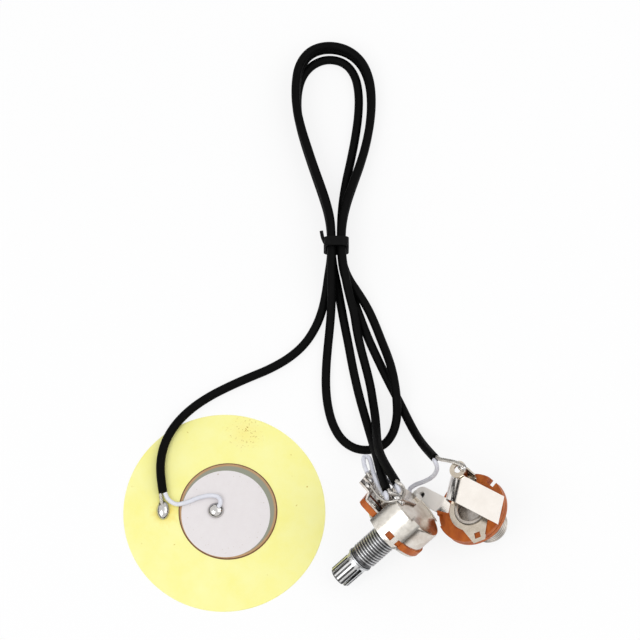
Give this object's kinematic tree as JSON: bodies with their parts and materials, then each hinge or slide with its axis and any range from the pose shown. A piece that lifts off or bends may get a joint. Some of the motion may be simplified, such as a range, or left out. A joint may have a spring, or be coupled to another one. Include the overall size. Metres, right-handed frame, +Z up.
{
  "type": "piezo pickup",
  "caption": "Prewired contact pickup: piezo ceramic on a brass disc, shielded cable, volume control with splined shaft, second cable and open-frame output jack.",
  "frame": {"origin": "centre of the brass disc's underside, which lies on the surface", "axes": "+Z up out of the disc's ceramic face, +Y from the disc towards the far end of the tied cable loops, +X from the disc towards the volume control and the jack"},
  "size_m": [0.0956, 0.1486, 0.0242],
  "materials": {
    "brass": "satin",
    "glue": "satin",
    "ceramic": "matte",
    "silver": "satin",
    "solder": "glossy",
    "bare_wire": "satin",
    "white_insulation": "satin",
    "black_jacket": "satin",
    "tie_plastic": "glossy",
    "nickel": "satin",
    "grey_zinc": "satin",
    "grey_nickel": "satin",
    "bright_nickel": "polished",
    "terminal_tin": "satin",
    "phenolic": "satin",
    "carbon": "matte",
    "black_moulding": "matte"
  },
  "bodies": {
    "pickup": {"brass_disc": "brass", "bond_layer": "glue", "ceramic_disc": "ceramic", "silver_electrode": "silver", "brass_solder": "solder", "silver_solder": "solder", "disc_shield_wire": "bare_wire", "disc_signal_lead": "white_insulation", "pickup_cable": "black_jacket", "output_cable": "black_jacket", "bundle_tie": "tie_plastic", "pot_bushing": "grey_zinc", "pot_bracket": "nickel", "pot_board": "phenolic", "pot_track": "carbon", "pot_collector": "carbon", "pot_can": "nickel", "pot_terminal_ground": "terminal_tin", "pot_terminal_wiper": "terminal_tin", "pot_terminal_input": "terminal_tin", "pot_rivets": "nickel", "pot_can_solder": "solder", "pot_ground_wire": "bare_wire", "pot_ground_solder": "solder", "pot_wiper_solder": "solder", "pot_input_solder": "solder", "pot_input_shield": "bare_wire", "pot_output_shield": "bare_wire", "pot_input_lead": "white_insulation", "pot_output_lead": "white_insulation", "pot_output_strands": "bare_wire", "jack_bushing": "grey_nickel", "jack_wafer_lower": "phenolic", "jack_wafer_upper": "phenolic", "jack_insulator": "phenolic", "jack_tip_spring": "bright_nickel", "jack_ground_lug": "bright_nickel", "jack_shield_wire": "bare_wire", "jack_signal_lead": "white_insulation", "jack_ground_solder": "solder", "jack_tip_solder": "solder"},
    "shaft": {"pot_shaft": "grey_zinc", "pot_clip": "grey_zinc", "pot_rotor": "black_moulding", "pot_wiper": "nickel"}
  },
  "joints": [
    {"name": "shaft_turn", "type": "hinge", "parent": "pickup", "child": "shaft", "pos_m": [0.04112, -0.00742, 0.01146], "axis": [-0.7025, -0.5294, -0.4756], "range_deg": [-150, 150]}
  ]
}
